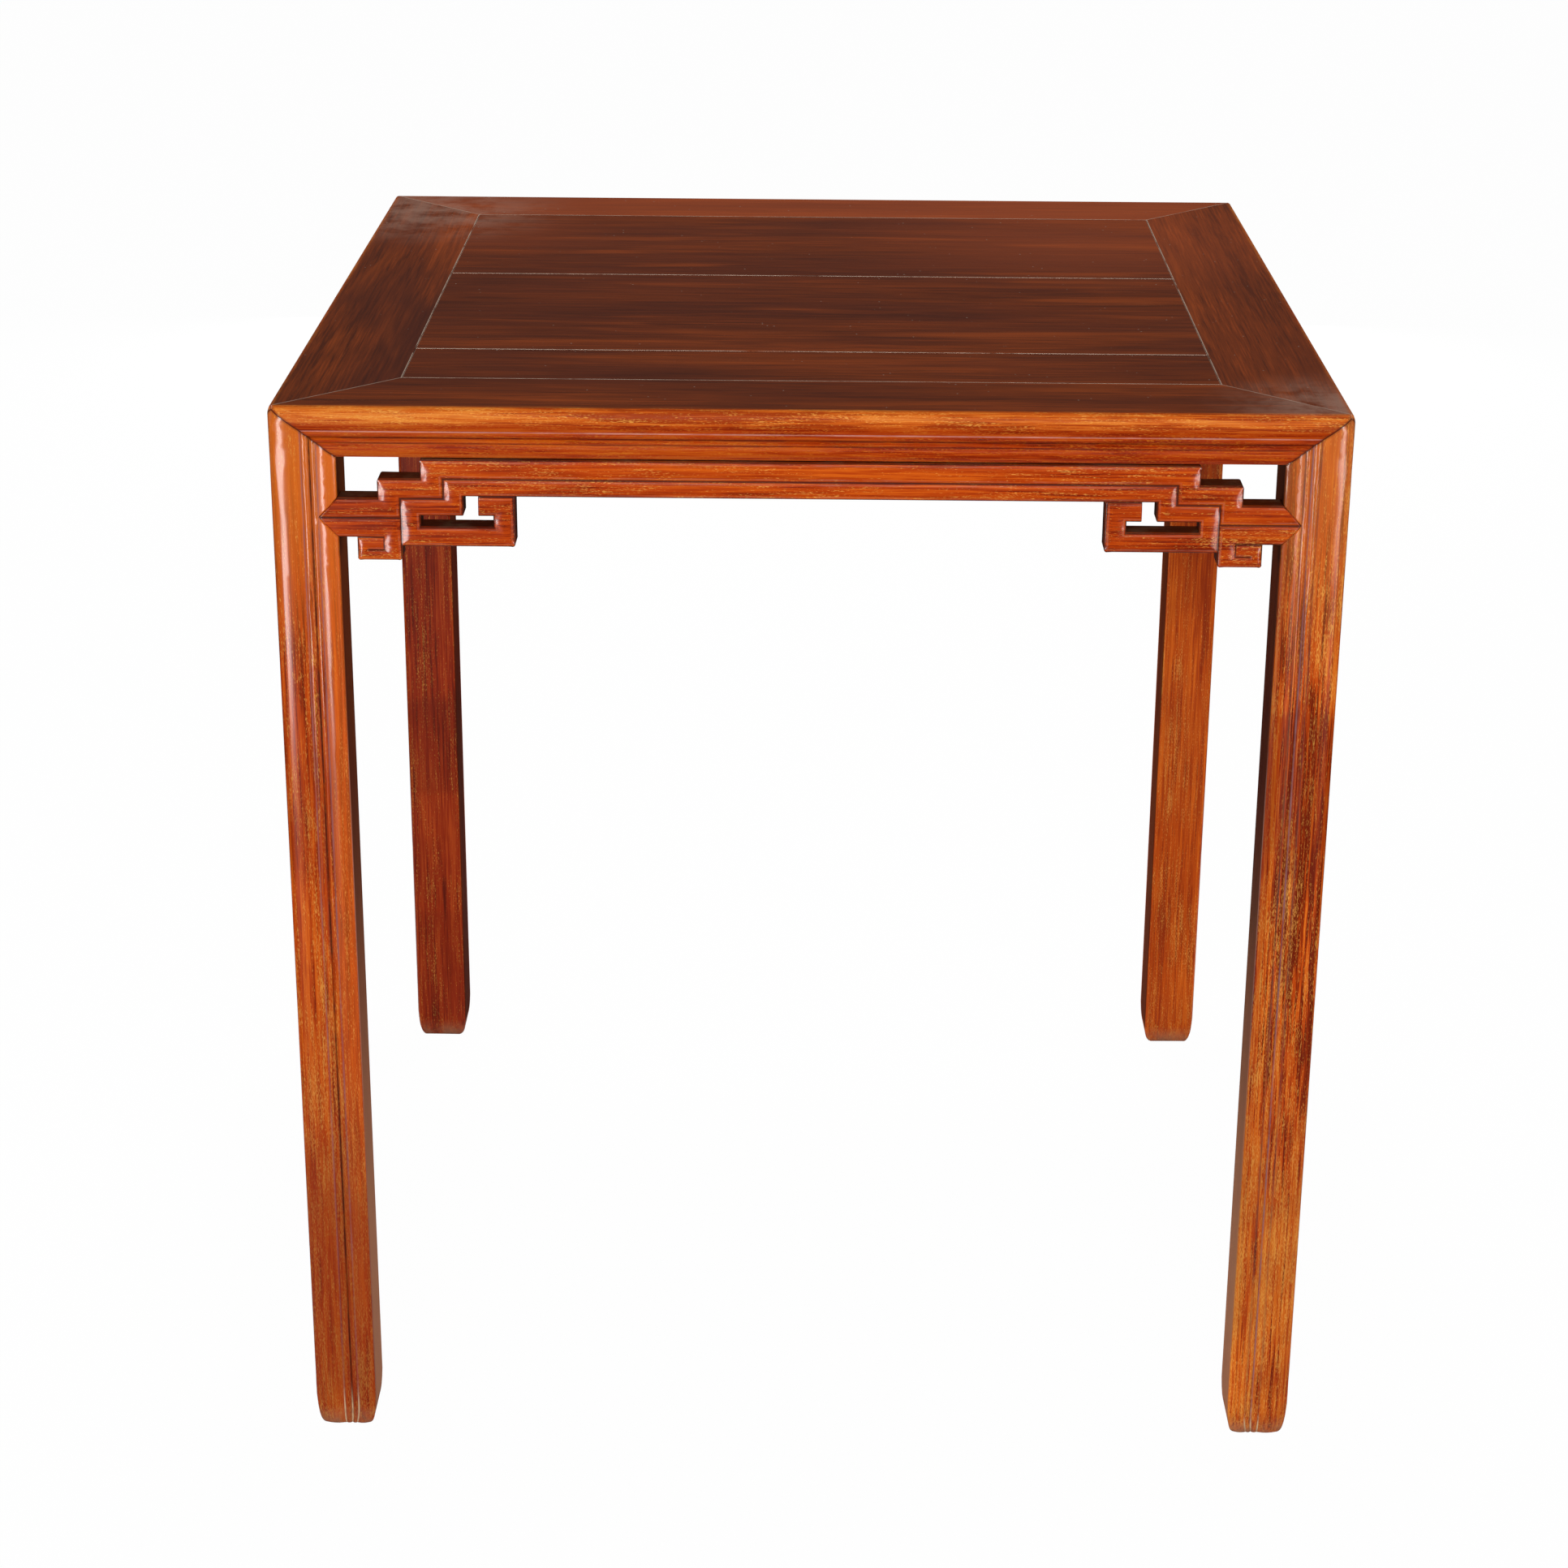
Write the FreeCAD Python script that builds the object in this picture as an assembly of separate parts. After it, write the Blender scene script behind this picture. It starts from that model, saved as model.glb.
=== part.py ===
# Chinese "eight immortals" table: a square high table with four moulded legs, a mitred frame
# holding a three-board panel, and a humped fretwork stretcher on each side.
# Units are millimetres. +Z is up, the front looks along -Y, and the origin is on the floor
# under the middle of the top.
#
# Corners are described by three distances from the table's outer top corner:
#   a  inwards along X,  b  inwards along Y,  c  downwards from the top surface.
import os

import FreeCAD
import Part
from FreeCAD import Vector

# ---- Overall size
table_width = 800.0
table_depth = 800.0
table_height = 864.0

# ---- Legs and frame
leg_width = 50.0
rail_height = 38.0
frame_width = 90.0
inner_corner_radius = 3.0

# ---- Moulding on every outer face: a groove between two fine lines, measured across a leg from
# its outer corner, and how far each of them and the band edges lie behind the outer face
line_1 = 24.5
groove = 30.7
line_2 = 36.0
line_depth = 1.5
groove_depth = 2.5
edge_drop = 2.2
bead_crown = 0.5
inner_crown = 0.2
top_edge_round = 3.0

# ---- Rounding of each top corner in plan, which runs out further down
corner_round = 16.0
corner_round_drop = 22.0

# ---- Feet: height above the floor and how far each side is drawn in there
foot_steps = ((28.0, 0.0), (17.0, 0.7), (8.0, 2.0), (3.0, 3.9), (0.0, 6.6))

# ---- Three-way mitre: the leg's two tenons and the rail's corner tenon
leg_tenon_from = 28.0
leg_tenon_to = 44.0
leg_tenon_near = 10.0
leg_tenon_far = 20.0
long_tenon_cover = 9.0
short_tenon_cover = 18.0
leg_tenon_root = 8.0
frame_tenon_from = 52.0
frame_tenon_width = 24.0
frame_tenon_cover = 14.0
frame_tenon_thickness = 12.0
frame_tenon_end = 14.0
mortise_end_gap = 1.0

# ---- Panel boards
board_thickness = 18.0
board_seam_front = 93.0
board_seam_rear = 253.0
seam_gap = 0.6
tongue_cover = 5.0
tongue_thickness = 7.0
tongue_length = 10.0
groove_end_gap = 2.0
edge_tongue_thickness = 6.0
edge_tongue_length = 6.0

# ---- Battens under the panel, each with a tapered dovetail
batten_count = 3
batten_spacing = 190.0
batten_width = 38.0
dovetail_height = 6.0
dovetail_neck = 20.0
dovetail_flare = 3.0
dovetail_taper = 2.0
batten_tenon_width = 26.0
batten_tenon_cover = 22.0
batten_tenon_thickness = 12.0
batten_tenon_length = 15.0

# ---- Fretwork stretchers: levels below the top, and distances from the leg's inner face
stretcher_gap = 1.5
stretcher_back = 22.0
tier = 15.0
hump_band = 13.0
arm_run = 30.0
tread = 32.0
riser = 17.0
hook_band = 14.5
hook_sill = 13.0
hook_foot = 15.0
hook_drop = 36.5
hook_length = 84.5
tip_band = 16.0
tip_gap = 11.0
scroll_band = 13.5
scroll_drop = 17.5
scroll_foot = 8.0
scroll_width = 33.0
scroll_side = 8.5
fret_corner_radius = 2.2

# ---- Stretcher ends, and the loose tenons that tie it to the rail above
shoulder_depth = 8.0
stretcher_tenon_thickness = 9.0
stretcher_tenon_length = 26.0
stretcher_tenon_edge = 5.0
loose_tenon_offset = 130.0
loose_tenon_width = 24.0
loose_tenon_thickness = 8.0
loose_tenon_setback = 8.0
loose_tenon_reach = 12.0

half_width = table_width / 2
half_depth = table_depth / 2
mitre_slope = rail_height / leg_width
# Bands of the moulding: where each begins and ends, how deep it lies there, and its crown's depth
face_bands = (
    (edge_drop, line_1, edge_drop, line_depth, 0.0),
    (line_1, groove, line_depth, groove_depth, bead_crown),
    (groove, line_2, groove_depth, line_depth, bead_crown),
    (line_2, leg_width, line_depth, edge_drop, inner_crown),
)
tongue_bottom = tongue_cover + tongue_thickness
OVERRUN = 20.0


def corner(a, b, c):
    """Point at distances a, b and c from the front left top corner."""
    return Vector(-half_width + a, -half_depth + b, table_height - c)


def block(a, b, c):
    """Box between the two values of each of a, b and c at the front left corner."""
    low = corner(a[0], b[0], c[1])
    return Part.makeBox(a[1] - a[0], b[1] - b[0], c[1] - c[0], low)


def prism(points, travel):
    """Solid of a flat outline moved along the vector travel."""
    return Part.Face(Part.makePolygon([*points, points[0]])).extrude(travel)


def bowed_edge(start, end, outward, rise):
    """Parabolic edge from start to end that stands proud by rise in its middle."""
    curve = Part.BezierCurve()
    curve.setPoles([start, (start + end) / 2 + outward * (2 * rise), end])
    return curve.toShape()


def corner_waste():
    """What the rounding takes off the table's outer corner."""
    runs_out = 0.9 * edge_drop / (1 - 0.5**0.5)
    sections = []
    for radius, c in ((corner_round, -1.0), (runs_out, corner_round_drop)):
        bulge = radius * (1 - 0.5**0.5)
        round_end = corner(0, radius, c)
        waste = (round_end, corner(-OVERRUN, radius, c), corner(-OVERRUN, -OVERRUN, c))
        waste += (corner(radius, -OVERRUN, c), corner(radius, 0, c))
        edges = [Part.LineSegment(begin, end).toShape() for begin, end in zip(waste, waste[1:])]
        edges.append(Part.Arc(waste[-1], corner(bulge, bulge, c), round_end).toShape())
        sections.append(Part.Wire(edges))
    return Part.makeLoft(sections, True, True)


def mirror_x(shape):
    return shape.mirror(Vector(0, 0, 0), Vector(1, 0, 0))


def mirror_y(shape):
    return shape.mirror(Vector(0, 0, 0), Vector(0, 1, 0))


# ---- Legs


def leg_outline(inset, height):
    """Closed outline of a leg at one height, drawn in by inset on every side."""
    middle = leg_width / 2
    shrink = (middle - inset) / middle

    def at(a, b):
        return Vector(
            -half_width + middle + (a - middle) * shrink,
            -half_depth + middle + (b - middle) * shrink,
            height,
        )

    edges = []
    for begin, end, depth_begin, depth_end, crown in face_bands:
        rise = ((depth_begin + depth_end) / 2 - crown) * shrink
        edges.append(bowed_edge(at(begin, depth_begin), at(end, depth_end), Vector(0, -1, 0), rise))
    turn = leg_width - inner_corner_radius
    bulge = leg_width - inner_corner_radius * (1 - 0.5**0.5)
    edges.append(Part.LineSegment(at(leg_width, edge_drop), at(leg_width, turn)).toShape())
    edges.append(Part.Arc(at(leg_width, turn), at(bulge, bulge), at(turn, leg_width)).toShape())
    edges.append(Part.LineSegment(at(turn, leg_width), at(edge_drop, leg_width)).toShape())
    for begin, end, depth_begin, depth_end, crown in reversed(face_bands):
        rise = ((depth_begin + depth_end) / 2 - crown) * shrink
        edges.append(bowed_edge(at(depth_end, end), at(depth_begin, begin), Vector(-1, 0, 0), rise))
    return Part.Wire(edges)


def above_mitre_x():
    """Space above the leg's mitre with the front rail."""
    far = leg_width + OVERRUN
    outline = [
        corner(-OVERRUN, -OVERRUN, -OVERRUN * mitre_slope),
        corner(far, -OVERRUN, far * mitre_slope),
        corner(far, -OVERRUN, -far),
        corner(-OVERRUN, -OVERRUN, -far),
    ]
    return prism(outline, Vector(0, leg_width + 2 * OVERRUN, 0))


def above_mitre_y():
    """Space above the leg's mitre with the left rail."""
    far = leg_width + OVERRUN
    outline = [
        corner(-OVERRUN, -OVERRUN, -OVERRUN * mitre_slope),
        corner(-OVERRUN, far, far * mitre_slope),
        corner(-OVERRUN, far, -far),
        corner(-OVERRUN, -OVERRUN, -far),
    ]
    return prism(outline, Vector(leg_width + 2 * OVERRUN, 0, 0))


def long_tenon(end_gap=0.0):
    """Tenon that goes up into the front rail, or its mortise when end_gap is given."""
    return block(
        (leg_tenon_from, leg_tenon_to),
        (leg_tenon_near, leg_tenon_far),
        (long_tenon_cover - end_gap, leg_tenon_to * mitre_slope + leg_tenon_root),
    )


def short_tenon(end_gap=0.0):
    """Tenon that goes up into the left rail, or its mortise when end_gap is given."""
    return block(
        (leg_tenon_near, leg_tenon_far),
        (leg_tenon_from, leg_tenon_to),
        (short_tenon_cover - end_gap, leg_tenon_to * mitre_slope + leg_tenon_root),
    )


def stretcher_socket_x():
    """Room in the leg for the front stretcher's pointed shoulder and tenon."""
    levels = fret_levels()
    shoulder = [
        corner(line_2, -OVERRUN, levels[3]),
        corner(leg_width, -OVERRUN, levels[2]),
        corner(leg_width + OVERRUN, -OVERRUN, levels[2]),
        corner(leg_width + OVERRUN, -OVERRUN, levels[4]),
        corner(leg_width, -OVERRUN, levels[4]),
    ]
    mortise = block(
        (leg_width - stretcher_tenon_length - mortise_end_gap, leg_width + OVERRUN),
        (shoulder_depth, shoulder_depth + stretcher_tenon_thickness),
        (levels[2] + stretcher_tenon_edge, levels[4] - stretcher_tenon_edge),
    )
    return prism(shoulder, Vector(0, OVERRUN + shoulder_depth, 0)).fuse(mortise)


def stretcher_socket_y():
    """Room in the leg for the left stretcher's pointed shoulder and tenon."""
    levels = fret_levels()
    shoulder = [
        corner(-OVERRUN, line_2, levels[3]),
        corner(-OVERRUN, leg_width, levels[2]),
        corner(-OVERRUN, leg_width + OVERRUN, levels[2]),
        corner(-OVERRUN, leg_width + OVERRUN, levels[4]),
        corner(-OVERRUN, leg_width, levels[4]),
    ]
    mortise = block(
        (shoulder_depth, shoulder_depth + stretcher_tenon_thickness),
        (leg_width - stretcher_tenon_length - mortise_end_gap, leg_width + OVERRUN),
        (levels[2] + stretcher_tenon_edge, levels[4] - stretcher_tenon_edge),
    )
    return prism(shoulder, Vector(OVERRUN + shoulder_depth, 0, 0)).fuse(mortise)


def make_leg():
    """Front left leg: moulded shaft, shaped foot, mitred head with two tenons."""
    shaft_bottom = foot_steps[0][0]
    shaft = Part.Face(leg_outline(0.0, shaft_bottom)).extrude(Vector(0, 0, table_height - shaft_bottom))
    foot = Part.makeLoft([leg_outline(inset, height) for height, inset in reversed(foot_steps)], True)
    leg = shaft.fuse(foot).removeSplitter()
    leg = leg.cut(above_mitre_x()).cut(above_mitre_y())
    leg = leg.cut(corner_waste()).fuse([long_tenon(), short_tenon()]).removeSplitter()
    return leg.cut(stretcher_socket_x()).cut(stretcher_socket_y())


# ---- Frame rails


def rail_outline(at):
    """Closed outline of a rail's section. at(depth, c) places a point of it, depth from the outer face."""
    outward = (at(0, 0) - at(1, 0)).normalize()
    edges = []
    for begin, end, depth_begin, depth_end, crown in face_bands:
        top, bottom = at(depth_begin, begin * mitre_slope), at(depth_end, end * mitre_slope)
        edges.append(bowed_edge(top, bottom, outward, (depth_begin + depth_end) / 2 - crown))
    inner = (
        at(edge_drop, rail_height),
        at(frame_width, rail_height),
        at(frame_width, 0),
        at(edge_drop + top_edge_round, 0),
    )
    for begin, end in zip(inner, inner[1:]):
        edges.append(Part.LineSegment(begin, end).toShape())
    arris = Part.BezierCurve()
    arris.setPoles([inner[-1], at(edge_drop + mitre_slope, 0), at(edge_drop, edge_drop * mitre_slope)])
    edges.append(arris.toShape())
    return Part.Wire(edges)


def past_leg_mitre_x():
    """Space on the leg's side of the mitre between leg and front rail."""
    far = frame_width + OVERRUN
    outline = [
        corner(-OVERRUN, -OVERRUN, -OVERRUN * mitre_slope),
        corner(far, -OVERRUN, far * mitre_slope),
        corner(-OVERRUN, -OVERRUN, far * mitre_slope),
    ]
    return prism(outline, Vector(0, far + OVERRUN, 0))


def past_leg_mitre_y():
    """Space on the leg's side of the mitre between leg and left rail."""
    far = frame_width + OVERRUN
    outline = [
        corner(-OVERRUN, -OVERRUN, -OVERRUN * mitre_slope),
        corner(-OVERRUN, far, far * mitre_slope),
        corner(-OVERRUN, -OVERRUN, far * mitre_slope),
    ]
    return prism(outline, Vector(far + OVERRUN, 0, 0))


def past_top_mitre(side):
    """Half of the corner beyond the top's diagonal mitre; side is "left" for the left rail's half."""
    far = frame_width + OVERRUN
    third = corner(-OVERRUN, far, rail_height + OVERRUN)
    if side == "front":
        third = corner(far, -OVERRUN, rail_height + OVERRUN)
    outline = [
        corner(-OVERRUN, -OVERRUN, rail_height + OVERRUN),
        corner(far, far, rail_height + OVERRUN),
        third,
    ]
    return prism(outline, Vector(0, 0, rail_height + 2 * OVERRUN))


def frame_tenon(end_gap=0.0):
    """The front rail's tenon across the corner into the left rail, or its mortise."""
    return block(
        (frame_tenon_end - end_gap, frame_tenon_from + frame_tenon_width),
        (frame_tenon_from, frame_tenon_from + frame_tenon_width),
        (frame_tenon_cover, frame_tenon_cover + frame_tenon_thickness),
    )


def both_ends_x(tool):
    return [tool, mirror_x(tool)]


def both_ends_y(tool):
    return [tool, mirror_y(tool)]


def batten_places():
    """X position of each batten."""
    first = -batten_spacing * (batten_count - 1) / 2
    return [first + batten_spacing * number for number in range(batten_count)]


def make_front_rail():
    """Front rail: moulded face, mitred ends with tenons, groove and mortises."""
    outline = rail_outline(lambda depth, c: corner(0, depth, c))
    rail = Part.Face(outline).extrude(Vector(table_width, 0, 0))
    rail = rail.cut(both_ends_x(past_leg_mitre_x()) + both_ends_x(past_top_mitre("left")))
    rail = rail.cut(both_ends_x(corner_waste()))
    rail = rail.fuse(both_ends_x(frame_tenon())).removeSplitter()
    groove_from = frame_width - tongue_length - groove_end_gap
    panel_groove = block(
        (groove_from, table_width - groove_from),
        (groove_from, frame_width + OVERRUN),
        (tongue_cover, tongue_bottom),
    )
    tools = [panel_groove] + both_ends_x(long_tenon(mortise_end_gap))
    for x in batten_places():
        tools.append(
            block(
                (half_width + x - batten_tenon_width / 2, half_width + x + batten_tenon_width / 2),
                (frame_width - batten_tenon_length - mortise_end_gap, frame_width + OVERRUN),
                (batten_tenon_cover, batten_tenon_cover + batten_tenon_thickness),
            )
        )
    for along in (half_width - loose_tenon_offset, half_width + loose_tenon_offset):
        tools.append(loose_tenon_x(along, mortise_end_gap))
    return rail.cut(tools)


def make_left_rail():
    """Left rail: as the front rail, but it receives the corner tenons."""
    outline = rail_outline(lambda depth, c: corner(depth, 0, c))
    rail = Part.Face(outline).extrude(Vector(0, table_depth, 0))
    rail = rail.cut(both_ends_y(past_leg_mitre_y()) + both_ends_y(past_top_mitre("front")))
    rail = rail.cut(both_ends_y(corner_waste()))
    groove_from = frame_width - tongue_length - groove_end_gap
    panel_groove = block(
        (groove_from, frame_width + OVERRUN),
        (groove_from, table_depth - groove_from),
        (tongue_cover, tongue_bottom),
    )
    tools = [panel_groove] + both_ends_y(frame_tenon(mortise_end_gap))
    tools += both_ends_y(short_tenon(mortise_end_gap))
    for along in (half_depth - loose_tenon_offset, half_depth + loose_tenon_offset):
        tools.append(loose_tenon_y(along, mortise_end_gap))
    return rail.cut(tools)


# ---- Panel boards and battens


def board_edges():
    """Y of every board edge, from the front frame rail to the rear one, as (low, high) pairs."""
    front = -half_depth + frame_width
    rear = half_depth - frame_width
    seams = [front, front + board_seam_front, rear - board_seam_rear, rear]
    return [(low + seam_gap / 2, high - seam_gap / 2) for low, high in zip(seams, seams[1:])]


def make_board(number):
    """One board of the panel: tongues into the frame, and a tongue and groove between boards."""
    pairs = board_edges()
    low, high = pairs[number]
    reach = half_width - frame_width - seam_gap / 2
    last = number == len(pairs) - 1
    board = Part.makeBox(
        2 * reach, high - low, board_thickness, Vector(-reach, low, table_height - board_thickness)
    )
    tongue_low = low - tongue_length if number == 0 else low
    tongue_high = high + tongue_length if last else high
    board = board.fuse(
        Part.makeBox(
            2 * (reach + tongue_length),
            tongue_high - tongue_low,
            tongue_thickness,
            Vector(-reach - tongue_length, tongue_low, table_height - tongue_bottom),
        )
    )
    edge_bottom = table_height - tongue_cover - edge_tongue_thickness
    edge_length = 2 * (reach + tongue_length)
    if not last:
        tongue = Part.makeBox(
            edge_length,
            edge_tongue_length + seam_gap,
            edge_tongue_thickness,
            Vector(-reach - tongue_length, high, edge_bottom),
        )
        board = board.fuse(tongue)
    if number > 0:
        edge_groove = Part.makeBox(
            edge_length + 2 * OVERRUN,
            edge_tongue_length + mortise_end_gap,
            edge_tongue_thickness,
            Vector(-reach - tongue_length - OVERRUN, low, edge_bottom),
        )
        board = board.cut(edge_groove)
    return board.removeSplitter().cut([dovetail(x) for x in batten_places()])


def dovetail(x):
    """Tapered dovetail along the top of the batten at x, wider at the front."""
    reach = half_depth - frame_width
    neck_z = table_height - board_thickness
    top_z = neck_z + dovetail_height

    def section(y, neck):
        wide = neck + 2 * dovetail_flare
        points = [
            Vector(x - neck / 2, y, neck_z),
            Vector(x - wide / 2, y, top_z),
            Vector(x + wide / 2, y, top_z),
            Vector(x + neck / 2, y, neck_z),
        ]
        return Part.makePolygon([*points, points[0]])

    sections = [section(-reach, dovetail_neck + dovetail_taper), section(reach, dovetail_neck)]
    return Part.makeLoft(sections, True, True)


def make_batten(x):
    """Batten under the panel: body, dovetail and a tenon at each end."""
    reach = half_depth - frame_width
    body = Part.makeBox(
        batten_width,
        2 * reach,
        rail_height - board_thickness,
        Vector(x - batten_width / 2, -reach, table_height - rail_height),
    )
    tenon = Part.makeBox(
        batten_tenon_width,
        2 * (reach + batten_tenon_length),
        batten_tenon_thickness,
        Vector(
            x - batten_tenon_width / 2,
            -reach - batten_tenon_length,
            table_height - batten_tenon_cover - batten_tenon_thickness,
        ),
    )
    return body.fuse([tenon, dovetail(x)]).removeSplitter()


# ---- Fretwork stretchers


def fret_levels():
    """Depths below the top of the tiers that the stretcher climbs, from its top edge down."""
    top = rail_height + stretcher_gap
    return [top + tier * number for number in range(5)]


def fret_bands(half_span):
    """Paired edge points of each moulded band, as (distance from the leg's inner face, depth).

    A band is a list of stations, each with its upper or outer point and its lower or inner one.
    """
    level = fret_levels()
    in_leg = line_2 - leg_width
    step_1 = arm_run
    step_2 = arm_run + tread
    hook_bottom = level[2] + hook_drop
    hump_bottom = level[1] + hump_band
    hook_left = step_1 + riser
    hook_rise = step_2 + riser
    hook_right = hook_left + hook_length
    tip = hook_rise + hook_band + tip_gap
    upper = [
        ((0, level[2]), (in_leg, level[3])),
        ((step_1, level[2]), (hook_left, level[3])),
        ((step_1, level[1]), (hook_left, level[2])),
        ((step_2, level[1]), (hook_rise, level[2])),
        ((step_2, level[0]), (hook_rise, level[1])),
        ((half_span, level[0]), (half_span, level[1])),
    ]
    hook = [
        ((half_span, level[1]), (half_span, hump_bottom)),
        ((hook_rise, level[1]), (hook_rise + hook_band, hump_bottom)),
        ((hook_rise, level[2]), (hook_rise + hook_band, level[2] + hook_sill)),
        ((hook_left, level[2]), (hook_left + hook_band, level[2] + hook_sill)),
        ((hook_left, hook_bottom), (hook_left + hook_band, hook_bottom - hook_foot)),
        ((hook_right, hook_bottom), (hook_right - tip_band, hook_bottom - hook_foot)),
        ((hook_right, hump_bottom), (hook_right - tip_band, level[2] + hook_sill)),
        ((tip, hump_bottom), (tip, level[2] + hook_sill)),
    ]
    scroll_bottom = level[4] + scroll_drop
    scroll_inner = hook_left - scroll_band
    scroll_left = hook_left - scroll_width
    scroll = [
        ((in_leg, level[3]), (0, level[4])),
        ((hook_left, level[3]), (scroll_inner, level[4])),
        ((hook_left, scroll_bottom), (scroll_inner, scroll_bottom - scroll_foot)),
        ((scroll_left, scroll_bottom), (scroll_left + scroll_side, scroll_bottom - scroll_foot)),
        ((scroll_left, level[4]), (scroll_left + scroll_side, scroll_bottom - scroll_foot)),
        ((scroll_inner, level[4]), (scroll_inner, scroll_bottom - scroll_foot)),
    ]
    return [upper, hook, scroll]


def moulded_run(near, far, half_span):
    """One straight piece of a band between two mitres, with its bowed face."""
    (out_1, in_1), (out_2, in_2) = near, far
    level_run = out_1[1] == out_2[1]
    plan = [out_1, out_2, in_2, in_1]
    if in_1 == in_2:
        plan = [out_1, out_2, in_1]
    front = -half_depth

    def point(place, depth):
        return Vector(-half_span + place[0], front + depth, table_height - place[1])

    low = min(p[0 if level_run else 1] for p in plan)
    high = max(p[0 if level_run else 1] for p in plan)
    if level_run:
        ends = [(low, out_1[1]), (low, in_1[1])]
        travel = Vector(high - low, 0, 0)
    else:
        ends = [(out_1[0], low), (in_1[0], low)]
        travel = Vector(0, 0, low - high)
    outer, inner = point(ends[0], line_depth), point(ends[1], line_depth)
    outer_back, inner_back = point(ends[0], stretcher_back), point(ends[1], stretcher_back)
    rise = line_depth - inner_crown
    section = Part.Wire(
        [
            bowed_edge(outer, inner, Vector(0, -1, 0), rise),
            Part.LineSegment(inner, inner_back).toShape(),
            Part.LineSegment(inner_back, outer_back).toShape(),
            Part.LineSegment(outer_back, outer).toShape(),
        ]
    )
    run = Part.Face(section).extrude(travel)
    clip = prism([point(place, 0) for place in plan], Vector(0, stretcher_back, 0))
    return run.common(clip)


def rounded_off(half_span, place, inward):
    """What rounding takes off one outer corner of the fretwork. inward points into the wood."""
    radius = fret_corner_radius
    front = -half_depth - OVERRUN
    depth = stretcher_back + 2 * OVERRUN
    tip = Vector(-half_span + place[0], front, table_height - place[1])
    centre = tip + Vector(inward[0] * radius, 0, -inward[1] * radius)
    low = Vector(min(tip.x, centre.x), front, min(tip.z, centre.z))
    rod = Part.makeCylinder(radius, depth, centre, Vector(0, 1, 0))
    return Part.makeBox(radius, depth, radius, low).cut(rod)


def fret_corners():
    """Outer corners of the fretwork that are rounded, each with the direction into the wood."""
    level = fret_levels()
    hook_left = arm_run + riser
    hook_bottom = level[2] + hook_drop
    scroll_bottom = level[4] + scroll_drop
    return [
        ((arm_run, level[1]), (1, 1)),
        ((arm_run + tread, level[0]), (1, 1)),
        ((hook_left, hook_bottom), (1, -1)),
        ((hook_left + hook_length, hook_bottom), (-1, -1)),
        ((hook_left, scroll_bottom), (-1, -1)),
        ((hook_left - scroll_width, scroll_bottom), (1, -1)),
    ]


def make_stretcher(span):
    """Front stretcher for legs that stand span apart: humped rail, hooks, scrolls and end tenons."""
    half_span = span / 2
    runs = []
    for band in fret_bands(half_span):
        for near, far in zip(band, band[1:]):
            runs.append(moulded_run(near, far, half_span))
    half = runs[0].fuse(runs[1:]).removeSplitter()
    half = half.cut([rounded_off(half_span, place, inward) for place, inward in fret_corners()])
    level = fret_levels()
    behind_shoulder = Part.makeBox(
        leg_width,
        stretcher_back,
        level[4] - level[2] + 2 * OVERRUN,
        Vector(-half_span - leg_width, -half_depth + shoulder_depth, table_height - level[4] - OVERRUN),
    )
    tenon = Part.makeBox(
        stretcher_tenon_length + arm_run / 2,
        stretcher_tenon_thickness,
        level[4] - level[2] - 2 * stretcher_tenon_edge,
        Vector(
            -half_span - stretcher_tenon_length,
            -half_depth + shoulder_depth,
            table_height - level[4] + stretcher_tenon_edge,
        ),
    )
    half = half.cut(behind_shoulder).fuse(tenon).removeSplitter()
    whole = half.fuse(mirror_x(half)).removeSplitter()
    sockets = [
        loose_tenon_x(half_width + offset, 0.0, mortise_end_gap)
        for offset in (-loose_tenon_offset, loose_tenon_offset)
    ]
    return whole.cut(sockets)


# ---- Loose tenons between rail and stretcher


def loose_tenon_x(along, up_gap=0.0, down_gap=0.0):
    """Loose tenon in the front side, centred at distance along from the left, or its mortise."""
    return block(
        (along - loose_tenon_width / 2, along + loose_tenon_width / 2),
        (loose_tenon_setback, loose_tenon_setback + loose_tenon_thickness),
        (
            rail_height - loose_tenon_reach - up_gap,
            rail_height + stretcher_gap + loose_tenon_reach + down_gap,
        ),
    )


def loose_tenon_y(along, up_gap=0.0):
    """Loose tenon in the left side, centred at distance along from the front, or its mortise."""
    return block(
        (loose_tenon_setback, loose_tenon_setback + loose_tenon_thickness),
        (along - loose_tenon_width / 2, along + loose_tenon_width / 2),
        (rail_height - loose_tenon_reach - up_gap, rail_height + stretcher_gap + loose_tenon_reach),
    )


# ---- Assembly


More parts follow.
